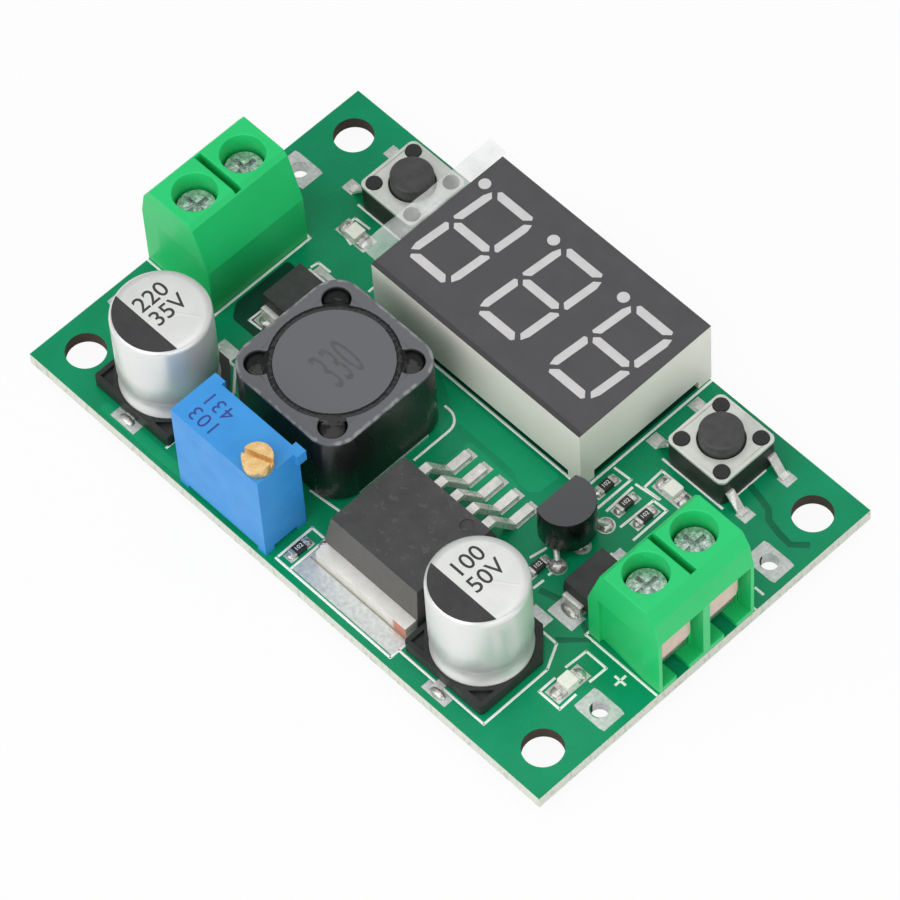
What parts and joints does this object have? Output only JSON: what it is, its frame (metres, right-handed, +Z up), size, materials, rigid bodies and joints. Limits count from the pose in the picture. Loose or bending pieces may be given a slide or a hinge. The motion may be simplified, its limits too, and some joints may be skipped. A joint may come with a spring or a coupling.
{
  "type": "buck converter module",
  "caption": "Green circuit board with screw terminals, a numeric voltmeter display, push switches, trimmer, shielded coil, can capacitors and a tabbed regulator.",
  "frame": {"origin": "under the middle of the board, level with the trimmed pin ends that the module stands on", "axes": "+X from the output terminals to the input terminals, +Y from the capacitor side to the display side, +Z up out of the component side"},
  "size_m": [0.056, 0.0356, 0.0137],
  "materials": {
    "solder_mask_board": "gloss",
    "green_polyamide": "satin",
    "zinc_plated_steel": "satin",
    "tinned_brass": "satin",
    "tinned_copper": "satin",
    "solder_alloy": "bright",
    "pale_display_shell": "satin",
    "display_epoxy": "satin",
    "clear_film": "gloss",
    "black_moulding": "matte",
    "pressed_steel": "satin",
    "spring_steel": "satin",
    "blue_trimmer_plastic": "satin",
    "turned_brass": "satin",
    "ferrite": "matte",
    "black_glue": "matte",
    "enamelled_copper": "gloss",
    "aluminium_can": "satin",
    "dark_epoxy_moulding": "matte",
    "chip_ceramic": "satin",
    "lamp_resin": "gloss"
  },
  "bodies": {
    "module": {"circuit_board": "solder_mask_board", "solder_joints": "solder_alloy", "input_terminal_housing": "green_polyamide", "input_rear_clamp_frame": "tinned_brass", "input_front_clamp_frame": "tinned_brass", "output_terminal_housing": "green_polyamide", "output_rear_clamp_frame": "tinned_brass", "output_front_clamp_frame": "tinned_brass", "display_housing": "pale_display_shell", "display_light_bars": "display_epoxy", "display_pins": "tinned_copper", "display_film": "clear_film", "right_switch_base": "black_moulding", "right_switch_cover": "pressed_steel", "right_switch_dome": "spring_steel", "right_switch_legs": "tinned_copper", "left_switch_base": "black_moulding", "left_switch_cover": "pressed_steel", "left_switch_dome": "spring_steel", "left_switch_legs": "tinned_copper", "trimmer_case": "blue_trimmer_plastic", "trimmer_pins": "tinned_copper", "coil_shield": "ferrite", "coil_glue": "black_glue", "coil_core": "ferrite", "coil_winding": "enamelled_copper", "coil_terminals": "tinned_copper", "output_capacitor_can": "aluminium_can", "output_capacitor_base": "black_moulding", "output_capacitor_leads": "tinned_copper", "input_capacitor_can": "aluminium_can", "input_capacitor_base": "black_moulding", "input_capacitor_leads": "tinned_copper", "regulator_body": "dark_epoxy_moulding", "regulator_tab": "tinned_copper", "regulator_leads": "tinned_copper", "output_diode_body": "dark_epoxy_moulding", "output_diode_leads": "tinned_copper", "input_diode_body": "dark_epoxy_moulding", "input_diode_leads": "tinned_copper", "reference_body": "dark_epoxy_moulding", "reference_leads": "tinned_copper", "chip_resistor_bodies": "chip_ceramic", "chip_resistor_ends": "tinned_copper", "indicator_lamp_bodies": "lamp_resin", "indicator_lamp_ends": "tinned_copper", "controller_body": "dark_epoxy_moulding", "controller_leads": "tinned_copper"},
    "input_rear_leaf": {"input_rear_pressure_leaf": "tinned_brass"},
    "input_rear_screw": {"input_rear_clamping_screw": "zinc_plated_steel"},
    "input_front_leaf": {"input_front_pressure_leaf": "tinned_brass"},
    "input_front_screw": {"input_front_clamping_screw": "zinc_plated_steel"},
    "output_rear_leaf": {"output_rear_pressure_leaf": "tinned_brass"},
    "output_rear_screw": {"output_rear_clamping_screw": "zinc_plated_steel"},
    "output_front_leaf": {"output_front_pressure_leaf": "tinned_brass"},
    "output_front_screw": {"output_front_clamping_screw": "zinc_plated_steel"},
    "right_button": {"right_switch_button": "black_moulding"},
    "left_button": {"left_switch_button": "black_moulding"},
    "trimmer_adjuster": {"trimmer_screw": "turned_brass"}
  },
  "joints": [
    {"name": "input_rear_leaf_slide", "type": "slide", "parent": "module", "child": "input_rear_leaf", "axis": [0, 0, -1], "range_m": [0, 0.0015]},
    {"name": "input_rear_screw_turn", "type": "hinge", "parent": "input_rear_leaf", "child": "input_rear_screw", "pos_m": [0.0243, 0.0025, 0.0099], "axis": [0, 0, -1], "range_deg": [0, 1080]},
    {"name": "input_front_leaf_slide", "type": "slide", "parent": "module", "child": "input_front_leaf", "axis": [0, 0, -1], "range_m": [0, 0.0015]},
    {"name": "input_front_screw_turn", "type": "hinge", "parent": "input_front_leaf", "child": "input_front_screw", "pos_m": [0.0243, -0.0025, 0.0099], "axis": [0, 0, -1], "range_deg": [0, 1080]},
    {"name": "output_rear_leaf_slide", "type": "slide", "parent": "module", "child": "output_rear_leaf", "axis": [0, 0, -1], "range_m": [0, 0.0015]},
    {"name": "output_rear_screw_turn", "type": "hinge", "parent": "output_rear_leaf", "child": "output_rear_screw", "pos_m": [-0.0243, 0.0025, 0.0099], "axis": [0, 0, -1], "range_deg": [0, 1080]},
    {"name": "output_front_leaf_slide", "type": "slide", "parent": "module", "child": "output_front_leaf", "axis": [0, 0, -1], "range_m": [0, 0.0015]},
    {"name": "output_front_screw_turn", "type": "hinge", "parent": "output_front_leaf", "child": "output_front_screw", "pos_m": [-0.0243, -0.0025, 0.0099], "axis": [0, 0, -1], "range_deg": [0, 1080]},
    {"name": "right_button_press", "type": "slide", "parent": "module", "child": "right_button", "axis": [0, 0, -1], "range_m": [0, 0.00025], "stiffness_N_per_m": 1000, "springref_m": -0.0005, "deforming": ["right_switch_dome"]},
    {"name": "left_button_press", "type": "slide", "parent": "module", "child": "left_button", "axis": [0, 0, -1], "range_m": [0, 0.00025], "stiffness_N_per_m": 1000, "springref_m": -0.0005, "deforming": ["left_switch_dome"]},
    {"name": "trimmer_turn", "type": "hinge", "parent": "module", "child": "trimmer_adjuster", "pos_m": [-0.0028, -0.01595, 0.0131], "axis": [0, 0, 1], "continuous": true}
  ],
  "couplings": [
    {"joint": "input_rear_screw_turn", "follows": "input_rear_leaf_slide", "rad_per_m": 12566},
    {"joint": "input_front_screw_turn", "follows": "input_front_leaf_slide", "rad_per_m": 12566},
    {"joint": "output_rear_screw_turn", "follows": "output_rear_leaf_slide", "rad_per_m": 12566},
    {"joint": "output_front_screw_turn", "follows": "output_front_leaf_slide", "rad_per_m": 12566}
  ]
}
